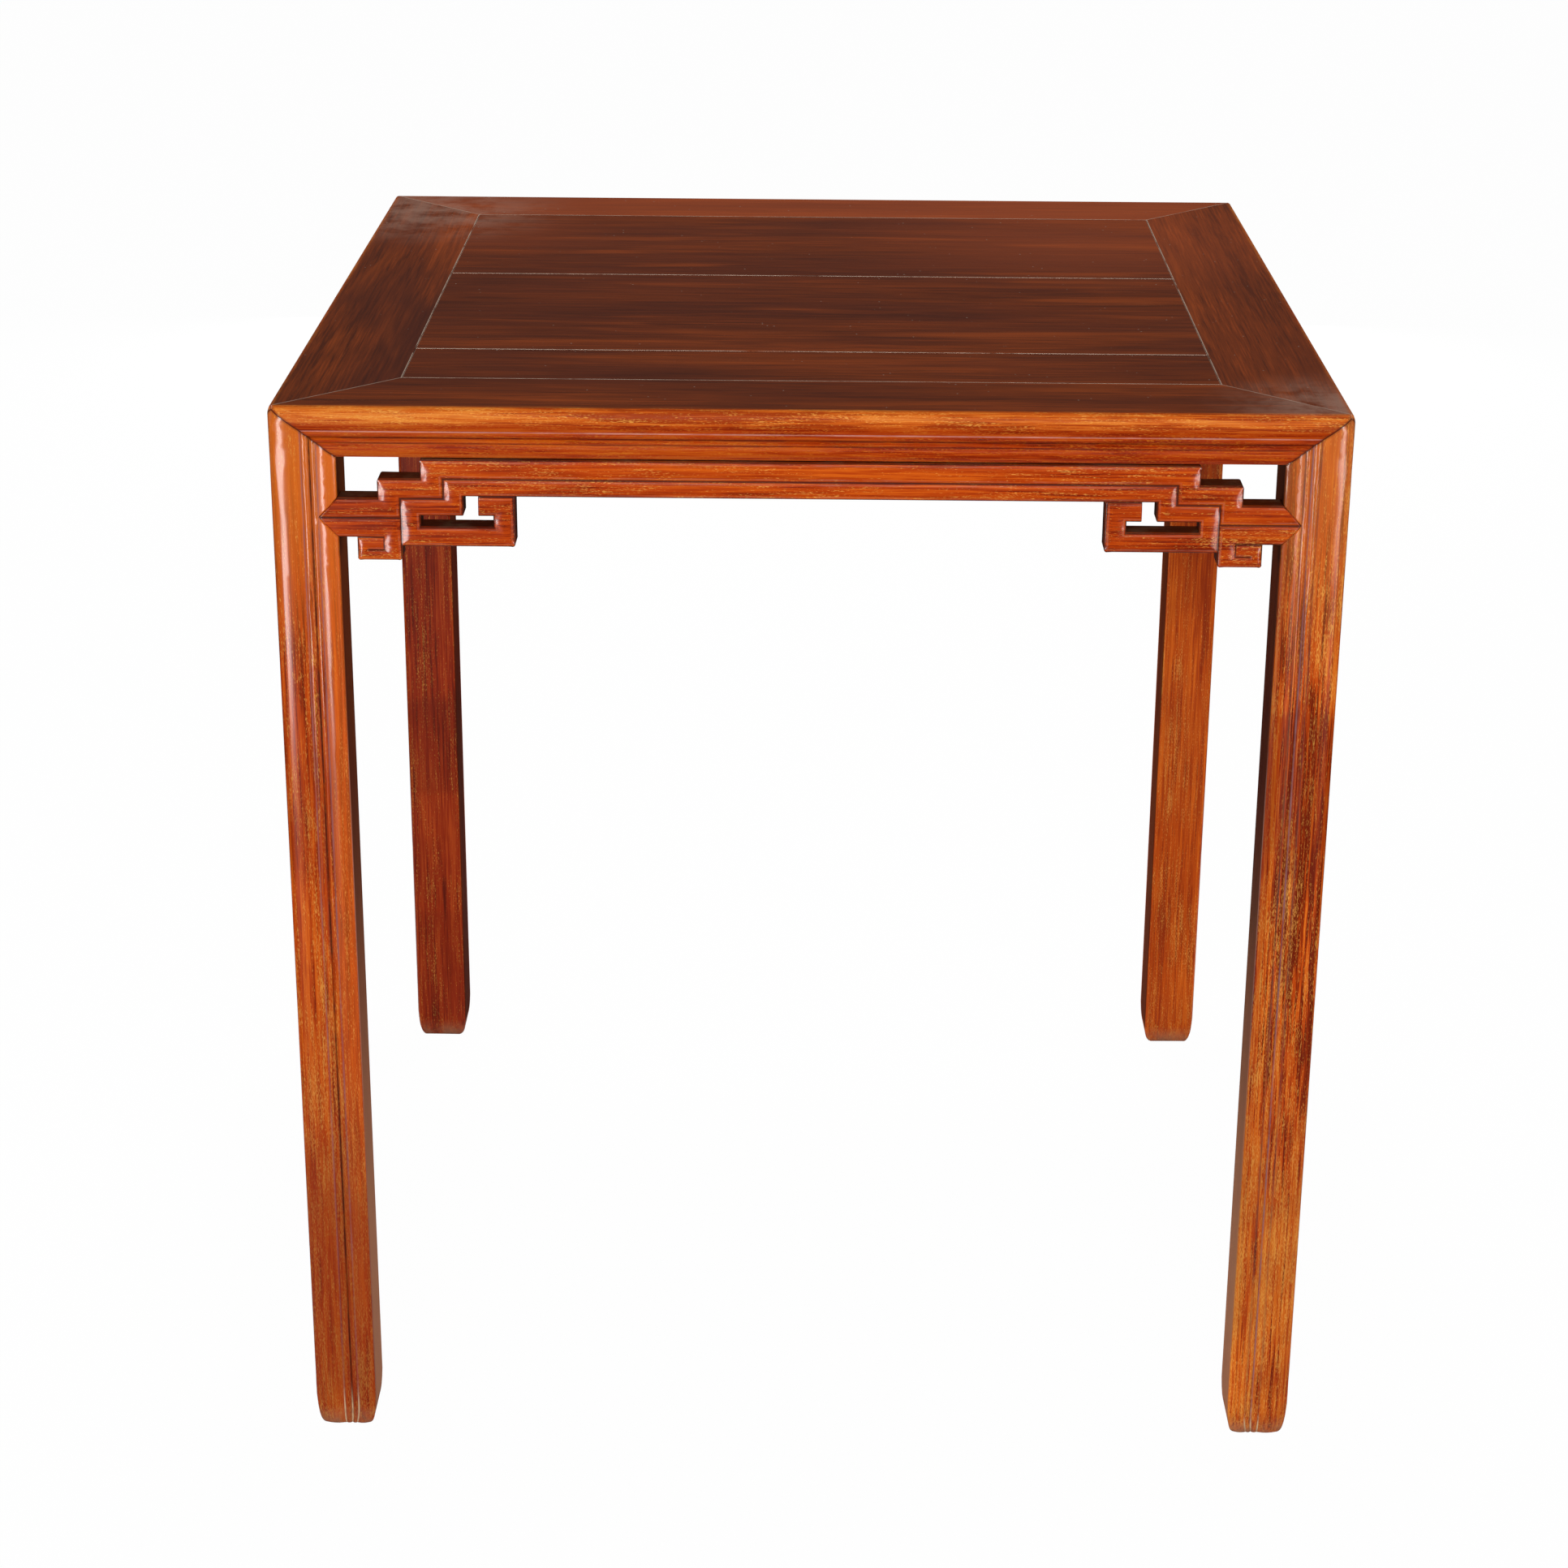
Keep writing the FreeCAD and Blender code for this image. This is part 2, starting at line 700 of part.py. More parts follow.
def build_table():
    """Every named piece of the table in its place."""
    pieces = {}

    leg = make_leg()
    pieces["leg_front_left"] = leg
    pieces["leg_front_right"] = mirror_x(leg)
    pieces["leg_rear_left"] = mirror_y(leg)
    pieces["leg_rear_right"] = mirror_y(mirror_x(leg))

    front_rail = make_front_rail()
    left_rail = make_left_rail()
    pieces["rail_front"] = front_rail
    pieces["rail_rear"] = mirror_y(front_rail)
    pieces["rail_left"] = left_rail
    pieces["rail_right"] = mirror_x(left_rail)

    for number, name in enumerate(("front", "middle", "rear")):
        pieces["board_" + name] = make_board(number)
    for number, x in enumerate(batten_places()):
        pieces["batten_" + str(number + 1)] = make_batten(x)

    front_stretcher = make_stretcher(table_width - 2 * leg_width)
    side_stretcher = make_stretcher(table_depth - 2 * leg_width)
    side_stretcher.translate(Vector(0, half_depth - half_width, 0))
    side_stretcher.rotate(Vector(0, 0, 0), Vector(0, 0, 1), -90)
    pieces["stretcher_front"] = front_stretcher
    pieces["stretcher_rear"] = mirror_y(front_stretcher)
    pieces["stretcher_left"] = side_stretcher
    pieces["stretcher_right"] = mirror_x(side_stretcher)

    for number, sign in enumerate((-1, 1)):
        across = loose_tenon_x(half_width + sign * loose_tenon_offset)
        pieces["loose_tenon_front_" + str(number + 1)] = across
        pieces["loose_tenon_rear_" + str(number + 1)] = mirror_y(across)
        along = loose_tenon_y(half_depth + sign * loose_tenon_offset)
        pieces["loose_tenon_left_" + str(number + 1)] = along
        pieces["loose_tenon_right_" + str(number + 1)] = mirror_x(along)
    return pieces


def single_solid(shape):
    """The one solid of a shape, turned the right way out."""
    solid = shape.Solids[0]
    if solid.Volume < 0:
        solid.reverse()
    return solid


def main():
    os.makedirs("parts", exist_ok=True)
    for name, shape in build_table().items():
        if len(shape.Solids) != 1 or not shape.isValid():
            print("CHECK", name, "solids", len(shape.Solids), "valid", shape.isValid())
        single_solid(shape).exportStep(os.path.join("parts", name + ".step"))
        print(name, "volume", round(shape.Volume / 1000, 1), "cm3")


main()
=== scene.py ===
import math
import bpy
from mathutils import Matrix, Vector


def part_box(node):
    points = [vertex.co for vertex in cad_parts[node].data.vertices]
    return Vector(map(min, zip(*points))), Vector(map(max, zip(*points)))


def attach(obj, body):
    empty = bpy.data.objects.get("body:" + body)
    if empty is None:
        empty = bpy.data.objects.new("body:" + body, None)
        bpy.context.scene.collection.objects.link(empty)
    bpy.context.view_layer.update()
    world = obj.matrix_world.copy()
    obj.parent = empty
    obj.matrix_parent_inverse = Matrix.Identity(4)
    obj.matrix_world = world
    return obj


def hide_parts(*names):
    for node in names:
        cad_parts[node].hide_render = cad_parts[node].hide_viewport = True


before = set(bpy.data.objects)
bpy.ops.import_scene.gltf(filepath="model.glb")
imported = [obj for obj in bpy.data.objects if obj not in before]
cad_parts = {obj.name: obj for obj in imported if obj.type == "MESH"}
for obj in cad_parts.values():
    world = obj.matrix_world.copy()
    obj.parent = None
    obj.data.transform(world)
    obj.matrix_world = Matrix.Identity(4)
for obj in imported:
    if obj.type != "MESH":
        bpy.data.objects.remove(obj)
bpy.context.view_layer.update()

from types import SimpleNamespace
import bmesh
import bpy
from mathutils import Matrix, Vector

scene = bpy.context.scene
print("frame loaded:", len(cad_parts), "nodes")

# sizes read from the frame, in metres; the table is square and centred
halfSpan = -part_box("leg_front_left")[0].x
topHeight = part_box("rail_front")[1].z
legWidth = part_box("leg_front_left")[1].x + halfSpan
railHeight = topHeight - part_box("rail_front")[0].z
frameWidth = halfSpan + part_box("rail_front")[1].y
mitreSlope = railHeight / legWidth


# helpers that add shader nodes
def fill(tree, node, inputs):              # sockets are linked, plain values are set
    for key, value in inputs.items():
        if isinstance(value, bpy.types.NodeSocket):
            tree.links.new(value, node.inputs[key])
        else:
            node.inputs[key].default_value = value
    return node


def addNode(tree, kind, inputs=None, **settings):
    node = tree.nodes.new("ShaderNode" + kind)
    for key, value in settings.items():
        setattr(node, key, value)
    return fill(tree, node, inputs or {})


def calc(tree, operation, *values, clamp=False):
    return addNode(tree, "Math", dict(enumerate(values)), operation=operation, use_clamp=clamp).outputs[0]


def minus(tree, first, second):
    return calc(tree, "SUBTRACT", first, second)


def times(tree, product, *factors):
    for factor in factors:
        product = calc(tree, "MULTIPLY", product, factor)
    return product


def larger(tree, largest, *others):
    for other in others:
        largest = calc(tree, "MAXIMUM", largest, other)
    return largest


def addShare(tree, base, value, share, clamp=False):
    return calc(tree, "MULTIPLY_ADD", value, share, base, clamp=clamp)


def fade(tree, value, low, high):          # 0 at low, 1 at high, eased
    inputs = {"Value": value, "From Min": low, "From Max": high}
    return addNode(tree, "MapRange", inputs, interpolation_type="SMOOTHSTEP").outputs[0]


def below(tree, value, full, none):        # 1 up to full, 0 from none on
    return minus(tree, 1.0, fade(tree, value, full, none))


def between(tree, value, rise, fall):
    return times(tree, fade(tree, value, *rise), below(tree, value, *fall))


def blend(tree, amount, first, second, mode="MIX"):
    inputs = {"Factor": amount, 6: first, 7: second}
    return addNode(tree, "Mix", inputs, data_type="RGBA", blend_type=mode).outputs[2]


def blendHeight(tree, amount, first, second):
    return addNode(tree, "Mix", {"Factor": amount, 2: first, 3: second}, data_type="FLOAT").outputs[0]


def noise(tree, vector, along, across, detail, rough, warp=0.0):
    stretched = addNode(tree, "VectorMath", {0: vector, 1: (along, across, across)}, operation="MULTIPLY")
    inputs = {"Vector": stretched.outputs[0], "Scale": 1.0, "Detail": detail, "Roughness": rough,
              "Distortion": warp}
    return addNode(tree, "TexNoise", inputs).outputs["Fac"]


def shifted(tree, vector, seed, steps):    # the pattern's place, moved by the piece's seed
    parts = {number: calc(tree, "MULTIPLY", seed, step) for number, step in enumerate(steps)}
    shift = addNode(tree, "CombineXYZ", parts).outputs[0]
    return addNode(tree, "VectorMath", {0: vector, 1: shift}, operation="ADD").outputs[0]


def alongGrain(tree, vector, axis):        # turns the piece's grain axis onto X
    order = {"x": (0, 1, 2), "y": (1, 0, 2), "z": (2, 0, 1)}[axis]
    parts = addNode(tree, "SeparateXYZ", {0: vector}).outputs
    turned = {number: parts[source] for number, source in enumerate(order)}
    return addNode(tree, "CombineXYZ", turned).outputs[0]


def paint(red, green, blue):               # display colour, 0 to 255, as a linear one
    linear = [pow((part / 255 + 0.055) / 1.055, 2.4) for part in (red, green, blue)]
    return (*linear, 1.0)


def newGroup(name, inputs, outputs):       # an input is given by its kind, or by the value it starts with
    tree = bpy.data.node_groups.new(name, "ShaderNodeTree")
    for title, given in inputs.items():
        kind = given if isinstance(given, str) else "Color" if isinstance(given, tuple) else "Float"
        socket = tree.interface.new_socket(title, in_out="INPUT", socket_type="NodeSocket" + kind)
        if given != kind:
            socket.default_value = given
    for title in outputs:
        kind = "Color" if title == "Color" else "Float"
        tree.interface.new_socket(title, in_out="OUTPUT", socket_type="NodeSocket" + kind)
    return tree, tree.nodes.new("NodeGroupInput").outputs, tree.nodes.new("NodeGroupOutput")


def useGroup(tree, group, **inputs):
    node = tree.nodes.new("ShaderNodeGroup")
    node.node_tree = group
    return fill(tree, node, inputs).outputs


# the figure of the wood, with the grain along the vector's X
# a pattern is its scale along the grain and across it, detail, roughness and warp
woodFigure = {
    "seedSteps": (3.17, 1.71, 2.39),
    "cloud": (2.4, 19.0, 3.0, 0.5, 0.5), "band": (5.5, 140.0, 4.0, 0.65, 0.35),
    "fibre": (14.0, 560.0, 3.0, 0.72),
    "cloudShare": 0.27, "bandShare": 0.26, "fibreShare": 0.47, "toneRange": (0.38, 0.62),
    "vein": (5.0, 330.0, 3.0, 0.65, 0.4), "veinFrom": (0.57, 0.69), "veinShare": 0.40,
    # open pores are short golden dashes in rows, which come in patches
    "patch": (9.0, 62.0, 3.0, 0.6), "row": (26.0, 500.0, 2.0, 0.6), "dash": (360.0, 2700.0, 1.0, 0.5),
    "patchPull": 0.50, "rowPull": 0.62, "flecksPull": 0.12, "fleckFrom": (0.62, 0.80), "fleckShare": 0.70,
    # relief: the slight waves of the plane, the fibres and the pores
    "wave": (7.0, 48.0, 1.0, 0.4), "waveHeight": 0.025, "fibreHeight": 0.013, "poreHeight": -0.05,
}


def makeWoodGrain():
    look = woodFigure
    tree, given, result = newGroup("woodGrain", {
        "Vector": "Vector", "Seed": 0.0, "Dark": "Color", "Middle": "Color", "Light": "Color",
        "Contrast": 1.5, "Flecks": 0.5, "FleckColor": paint(242, 172, 76),
    }, ("Color", "Height", "Fleck", "Tone"))
    place = shifted(tree, given["Vector"], given["Seed"], look["seedSteps"])
    fibre = noise(tree, place, *look["fibre"])
    tone = times(tree, noise(tree, place, *look["cloud"]), look["cloudShare"])
    tone = addShare(tree, tone, noise(tree, place, *look["band"]), look["bandShare"])
    tone = addShare(tree, tone, fibre, look["fibreShare"])
    tone = addShare(tree, 0.5, minus(tree, tone, 0.5), given["Contrast"])
    darkest, lightest = look["toneRange"]
    ramp = addNode(tree, "MapRange", {"Value": tone, "From Min": darkest, "From Max": lightest}).outputs[0]
    lower = blend(tree, fade(tree, ramp, 0.0, 0.5), given["Dark"], given["Middle"])
    color = blend(tree, fade(tree, ramp, 0.5, 1.0), lower, given["Light"])
    vein = fade(tree, noise(tree, place, *look["vein"]), *look["veinFrom"])
    color = blend(tree, times(tree, vein, look["veinShare"]), color, given["Dark"])
    level = noise(tree, place, *look["dash"])
    level = addShare(tree, level, minus(tree, noise(tree, place, *look["patch"]), 0.5), look["patchPull"])
    level = addShare(tree, level, minus(tree, noise(tree, place, *look["row"]), 0.5), look["rowPull"])
    level = addShare(tree, level, given["Flecks"], look["flecksPull"])
    fleck = fade(tree, level, *look["fleckFrom"])
    color = blend(tree, times(tree, fleck, look["fleckShare"]), color, given["FleckColor"])
    height = times(tree, noise(tree, place, *look["wave"]), look["waveHeight"])
    height = addShare(tree, height, fibre, look["fibreHeight"])
    height = addShare(tree, height, fleck, look["poreHeight"])
    fill(tree, result, {"Color": color, "Height": height, "Fleck": fleck, "Tone": ramp})
    return tree


def makeOuterDistances():                  # distances of a point from the table's outer planes
    tree, given, result = newGroup("outerDistances", {"Vector": "Vector"},
                                   ("Across", "Depth", "Down", "FromSide", "FromFront", "Height"))
    axis = addNode(tree, "SeparateXYZ", {0: given["Vector"]}).outputs
    fromSide = minus(tree, halfSpan, calc(tree, "ABSOLUTE", axis[0]))
    fromFront = minus(tree, halfSpan, calc(tree, "ABSOLUTE", axis[1]))
    fill(tree, result, {
        "Across": larger(tree, fromSide, fromFront), "Depth": calc(tree, "MINIMUM", fromSide, fromFront),
        "Down": minus(tree, topHeight, axis[2]), "Height": axis[2],
        "FromSide": fromSide, "FromFront": fromFront,
    })
    return tree


# marks of use: stains, the film left by polishing, and white specks
useMarks = {
    "stain": (4.0, 4.0, 4.0, 0.6, 0.6), "film": (31.0, 31.0, 4.0, 0.65), "rarity": (43.0, 43.0, 1.0, 0.5),
    "speckScale": 150.0, "speckEdge": (0.05, 0.12), "speckFrom": (0.60, 0.66),
}


def makeHandling():
    look = useMarks
    tree, given, result = newGroup("handling", {"Vector": "Vector", "Seed": 0.0}, ("Stain", "Film", "Speck"))
    place = shifted(tree, given["Vector"], given["Seed"], (1.0, 1.0, 1.0))
    dots = addNode(tree, "TexVoronoi", {"Vector": place, "Scale": look["speckScale"]}).outputs["Distance"]
    rare = fade(tree, noise(tree, place, *look["rarity"]), *look["speckFrom"])
    fill(tree, result, {
        "Stain": noise(tree, place, *look["stain"]), "Film": noise(tree, place, *look["film"]),
        "Speck": times(tree, below(tree, dots, *look["speckEdge"]), rare),
    })
    return tree


# the moulding of legs and rails: where each line runs across the face, and its width; lineCore is the
# share of a line's width that has its full strength
moulding = {
    "lines": {"Outer": (0.0245, 0.0009), "Groove": (0.0307, 0.0010), "Inner": (0.0360, 0.0009)},
    "lineCore": 0.3, "hazeWidth": 0.0024, "footHeight": 0.028, "footInset": 0.0066, "footCurve": 3.0,
    "paintedLightPatchFrom": (0.34, 0.62), "leastWorn": 0.5, "faintBelow": (0.05, 0.45), "leastShown": 0.5,
}


def lineMask(tree, distance, width):       # 1 on a line where distance is 0, 0 past width
    full = times(tree, width, moulding["lineCore"])
    return below(tree, calc(tree, "ABSOLUTE", distance), full, width)


# paints the groove and the two fine lines beside it: a dark line stands for painted shade in its groove, a
# pale one for a painted highlight over wax film, and the haze round them is wax film with a painted sheen
def makeMouldedFace():                     # colours the groove and the two fine lines beside it
    look = moulding
    inputs = {"Color": "Color", "Across": 0.0, "Height": 1.0, "Film": 0.5,
              "HazeColor": "Color", "HazeShare": 0.0}
    for title in look["lines"]:
        inputs.update({title + "Color": "Color", title + "Share": 0.0})
    tree, given, result = newGroup("mouldedFace", inputs, ("Color", "Lines", "Groove"))
    # the foot draws the lines in towards the middle of the leg
    middle = legWidth / 2
    drawn = addShare(tree, 1.0, given["Height"], -1.0 / look["footHeight"], clamp=True)
    inset = times(tree, calc(tree, "POWER", drawn, look["footCurve"]), look["footInset"])
    scale = minus(tree, 1.0, calc(tree, "DIVIDE", inset, middle))
    across = calc(tree, "ADD", calc(tree, "DIVIDE", minus(tree, given["Across"], middle), scale), middle)
    places = {title: minus(tree, across, line) for title, (line, width) in look["lines"].items()}
    masks = {title: lineMask(tree, places[title], width) for title, (line, width) in look["lines"].items()}
    haze = larger(tree, *[lineMask(tree, place, look["hazeWidth"]) for place in places.values()])
    paintedLight = fade(tree, given["Film"], *look["paintedLightPatchFrom"])
    uneven = addShare(tree, look["leastWorn"], paintedLight, 1.0 - look["leastWorn"])
    shown = fade(tree, given["Height"], *look["faintBelow"])
    shown = addShare(tree, look["leastShown"], shown, 1.0 - look["leastShown"])
    hazy = times(tree, haze, paintedLight, given["HazeShare"], shown)
    color = blend(tree, hazy, given["Color"], given["HazeColor"])
    # each line gets its own colour: dark for painted shade, pale for a painted highlight over wax film
    for title, mask in masks.items():
        strength = times(tree, mask, uneven, given[title + "Share"])
        if title != "Groove":
            strength = times(tree, strength, shown)
        color = blend(tree, strength, color, given[title + "Color"])
    fill(tree, result, {"Color": color, "Lines": larger(tree, *masks.values()), "Groove": masks["Groove"]})
    return tree


# joints that show: mitres between legs and rails, and waxed seams in the top
joints = {
    "mitreWidth": 0.0010, "mitreShare": 0.9, "mitreWaxFrom": (0.56, 0.64), "shadowWidth": 0.0028,
    "shadowShare": 0.35, "seamWaxFrom": (0.28, 0.50),
}


def makeMitreLine():
    look = joints
    tree, given, result = newGroup("mitreLine", {
        "Color": "Color", "Across": 0.0, "Down": 1.0, "Film": 0.5, "GapColor": "Color", "WaxColor": "Color",
    }, ("Color",))
    line = minus(tree, given["Down"], times(tree, given["Across"], mitreSlope))
    shadow = times(tree, lineMask(tree, line, look["shadowWidth"]), look["shadowShare"])
    color = blend(tree, shadow, given["Color"], given["GapColor"])
    waxed = fade(tree, given["Film"], *look["mitreWaxFrom"])
    filled = blend(tree, waxed, given["GapColor"], given["WaxColor"])
    gap = times(tree, lineMask(tree, line, look["mitreWidth"]), look["mitreShare"])
    fill(tree, result, {"Color": blend(tree, gap, color, filled)})
    return tree


def makeSeamLine():
    tree, given, result = newGroup("seamLine", {
        "Color": "Color", "Distance": 1.0, "Width": 0.001, "Share": 0.7, "Film": 0.5, "WaxColor": "Color",
    }, ("Color",))
    waxed = times(tree, lineMask(tree, given["Distance"], given["Width"]),
                  fade(tree, given["Film"], *joints["seamWaxFrom"]), given["Share"])
    fill(tree, result, {"Color": blend(tree, waxed, given["Color"], given["WaxColor"])})
    return tree


woodGrain = makeWoodGrain()
outerDistances = makeOuterDistances()
handling = makeHandling()
mouldedFace = makeMouldedFace()
mitreLine = makeMitreLine()
seamLine = makeSeamLine()
print("shared effects made")


# what every wood starts from and ends with
def startWood(name, axis, seed):
    material = bpy.data.materials.new(name)
    material.use_nodes = True
    tree = material.node_tree
    tree.nodes.clear()
    shader = addNode(tree, "BsdfPrincipled")
    addNode(tree, "OutputMaterial", {0: shader.outputs[0]})
    place = addNode(tree, "TexCoord").outputs["Object"]
    return SimpleNamespace(material=material, tree=tree, shader=shader, seed=seed, place=place,
                           along=alongGrain(tree, place, axis),
                           away=useGroup(tree, outerDistances, Vector=place),
                           marks=useGroup(tree, handling, Vector=place, Seed=seed))


def useGrain(wood, tones, **inputs):
    return useGroup(wood.tree, woodGrain, Vector=wood.along, Dark=tones["dark"], Middle=tones["middle"],
                    Light=tones["light"], **inputs)


def stained(wood, color, finish, tone):
    patches = fade(wood.tree, wood.marks["Stain"], *finish["stainFrom"])
    return blend(wood.tree, times(wood.tree, patches, finish["stainShare"]), color, tone)


def useMitre(wood, color, finish):
    return useGroup(wood.tree, mitreLine, Color=color, Across=wood.away["Across"], Down=wood.away["Down"],
                    Film=wood.marks["Film"], GapColor=finish["gap"], WaxColor=finish["wax"])["Color"]


def finishWood(wood, finish, color, roughness, height, coat=None):
    relief = addNode(wood.tree, "Bump", {"Height": height, "Strength": 1.0, "Distance": finish["relief"]})
    fill(wood.tree, wood.shader, {
        "Base Color": color, "Roughness": roughness, "Normal": relief.outputs[0],
        "Specular IOR Level": finish["specular"], "Coat Weight": finish["coat"] if coat is None else coat,
        "Coat Roughness": finish["coatRoughness"],
    })
    return wood.material


# worked copies of the solids: how edges are found and eased, in metres
workedEdges = {
    "merge": 2e-6, "flat": math.radians(0.4), "sharp": math.radians(28), "onPlane": 2e-5, "arris": 0.012,
    "even": 0.0002, "shortest": 0.0025, "hollowShare": 0.15, "segments": 3,
    "ease": 0.0010, "boardEase": 0.0004, "legCorner": 0.020, "railCorner": 0.0495,
}


def outerGaps(vertex):                     # distances of a corner from the side, front and top planes
    return halfSpan - abs(vertex.co.x), halfSpan - abs(vertex.co.y), topHeight - vertex.co.z


def onJoint(edge):                         # both ends on a mitre between leg and rail or between two rails
    for vertex in edge.verts:
        fromSide, fromFront, down = outerGaps(vertex)
        onLegMitre = abs(down - mitreSlope * max(fromSide, fromFront)) < workedEdges["onPlane"]
        onTopMitre = abs(fromSide - fromFront) < workedEdges["onPlane"] and down < railHeight
        if not (onLegMitre or onTopMitre):
            return False
    return True


def onArris(edge):                         # on the rounded outer edge of a leg or of the top
    for vertex in edge.verts:
        near, middle = sorted(outerGaps(vertex))[:2]
        if middle - near > workedEdges["even"] or middle > workedEdges["arris"]:
            return False
    return not onJoint(edge)


def easeShare(edge, cornerZone):           # how much of the full easing a sharp edge gets
    byCorner = any(max(outerGaps(vertex)[:2]) < cornerZone for vertex in edge.verts)
    if byCorner or onJoint(edge) or edge.calc_length() < workedEdges["shortest"]:
        return 0.0
    return 1.0 if edge.is_convex else workedEdges["hollowShare"]


def workedCopy(node, material, ease=workedEdges["ease"], cornerZone=0.0):
    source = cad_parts[node]
    piece = bpy.data.objects.new(node + "_worked", source.data.copy())
    scene.collection.objects.link(piece)
    shape = bmesh.new()
    shape.from_mesh(piece.data)
    bmesh.ops.remove_doubles(shape, verts=shape.verts, dist=workedEdges["merge"])
    bmesh.ops.dissolve_limit(shape, angle_limit=workedEdges["flat"], verts=shape.verts, edges=shape.edges)
    weight = shape.edges.layers.float.new("bevel_weight_edge")
    for face in shape.faces:
        face.smooth = True
    for edge in shape.edges:
        gentle = len(edge.link_faces) == 2 and edge.calc_face_angle(0.0) < workedEdges["sharp"]
        edge.smooth = gentle or onArris(edge)
        if not edge.smooth:
            edge[weight] = easeShare(edge, cornerZone)
    shape.to_mesh(piece.data)
    shape.free()
    piece.data.materials.clear()
    piece.data.materials.append(material)
    easing = piece.modifiers.new("easedEdges", "BEVEL")
    easing.width = ease
    easing.segments = workedEdges["segments"]
    easing.limit_method = "WEIGHT"
    easing.use_clamp_overlap = False
    shading = piece.modifiers.new("shading", "WEIGHTED_NORMAL")
    shading.keep_sharp = True
    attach(piece, "root")
    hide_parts(node)


# legs; a pair of values is where an effect starts and where it is full, or the other way round
legFinish = {
    # haze: wax film with a painted sheen beside the moulding's lines
    "gap": paint(66, 22, 12), "wax": paint(218, 192, 152), "haze": paint(150, 84, 74), "hazeShare": 0.18,
    "calmAbove": (0.66, 0.80), "calm": 0.45, "fleckedBelow": (0.12, 0.62), "topAbove": (0.62, 0.84),
    "innerBandShadingAbove": (0.0, 0.60), "stainFrom": (0.48, 0.70), "stainShare": 0.40,
    # the inner wall that faces the leg to its left or right is painted in shade, darker still high up as
    # painted shadow under the stretchers, and left nearly unpolished
    "wall": paint(62, 25, 15), "wallUpperShade": paint(26, 13, 9), "wallLowerShadingBelow": (0.10, 0.60),
    "wallUpperShadeAbove": (0.72, 0.80), "wallUpperShadeShare": 0.8, "wallNear": (0.0012, 0.0006),
    "wallDepth": (0.004, 0.009), "shadedAndUnpolished": 0.85,
    # wax and dust gather at the foot
    "waxBelow": (0.006, 0.045), "waxAlwaysBelow": (0.008, 0.020), "waxFrom": (0.40, 0.56),
    "footDust": paint(158, 112, 84), "dustBelow": (0.0, 0.022), "dustShare": 0.5, "leastDust": 0.2,
    "rough": 0.36, "grooveRough": 0.2, "fleckRough": 0.15, "footRough": 0.12, "wallRough": 0.6,
    "glossAbove": (0.30, 0.75), "leastGloss": 0.45, "wallCoatLoss": -1.3,
    "relief": 0.001, "specular": 0.06, "coat": 0.36, "coatRoughness": 0.18,
}
# here the groove is painted shade and the fine lines painted highlights over wax film
shadedGrooveLitLines = {
    "OuterColor": paint(150, 96, 96), "OuterShare": 0.7,
    "GrooveColor": paint(66, 22, 12), "GrooveShare": 0.9,
    "InnerColor": paint(150, 98, 98), "InnerShare": 0.7,
}
# here the groove is a painted highlight and the fine lines painted shade
litGrooveShadedLines = {
    "OuterColor": paint(104, 56, 50), "OuterShare": 0.6,
    "GrooveColor": paint(150, 108, 112), "GrooveShare": 0.8,
    "InnerColor": paint(96, 58, 44), "InnerShare": 0.8,
}
# what differs from leg to leg; a darker stretch is its lower end, upper end, softness and amount
# on the front legs the inner wall's lower tone is painted light from the floor; the inner band is painted
# lighter on the left front leg and darker on the right, as painted light and painted shade
legTones = {
    "leg_front_left": {
        "seed": 1.0, "dark": paint(120, 34, 8), "middle": paint(188, 68, 12), "light": paint(218, 100, 24),
        "contrast": 1.4, "flecks": 0.22, "lowFlecks": 0.75, "lines": shadedGrooveLitLines,
        "wallLowerShading": paint(184, 130, 100),
        "innerBandShading": paint(222, 104, 34), "innerBandShadingShare": 0.4, "innerBandShadingFrom": (0.0355, 0.0375),
        "top": paint(222, 130, 44), "topShare": 0.4, "darker": ((-0.20, 0.34, 0.16, 0.45),),
    },
    "leg_front_right": {
        "seed": 2.0, "dark": paint(112, 30, 6), "middle": paint(194, 72, 12), "light": paint(224, 114, 30),
        "contrast": 2.0, "flecks": 0.45, "lowFlecks": 0.75, "lines": litGrooveShadedLines,
        "wallLowerShading": paint(184, 130, 100),
        "innerBandShading": paint(104, 28, 12), "innerBandShadingShare": 0.45, "innerBandShadingFrom": (0.0380, 0.0490),
        "top": paint(212, 132, 62), "topShare": 0.35,
        "darker": ((0.52, 0.632, 0.006, 0.28), (0.10, 0.34, 0.05, 0.15)),
    },
    "leg_rear_left": {
        "seed": 3.0, "dark": paint(98, 24, 6), "middle": paint(152, 44, 10), "light": paint(182, 70, 22),
        "contrast": 1.25, "flecks": -0.05, "lowFlecks": 0.0, "lines": shadedGrooveLitLines,
        "wallLowerShading": paint(58, 24, 14), "darker": ((0.27, 0.37, 0.005, 0.26), (0.0, 0.14, 0.006, 0.20)),
    },
    "leg_rear_right": {
        "seed": 4.0, "dark": paint(154, 50, 8), "middle": paint(198, 78, 12), "light": paint(224, 106, 24),
        "contrast": 1.35, "flecks": 0.2, "lowFlecks": 0.2, "lines": litGrooveShadedLines,
        "wallLowerShading": paint(70, 28, 15), "darker": ((0.0, 0.05, 0.03, 0.25),),
    },
}


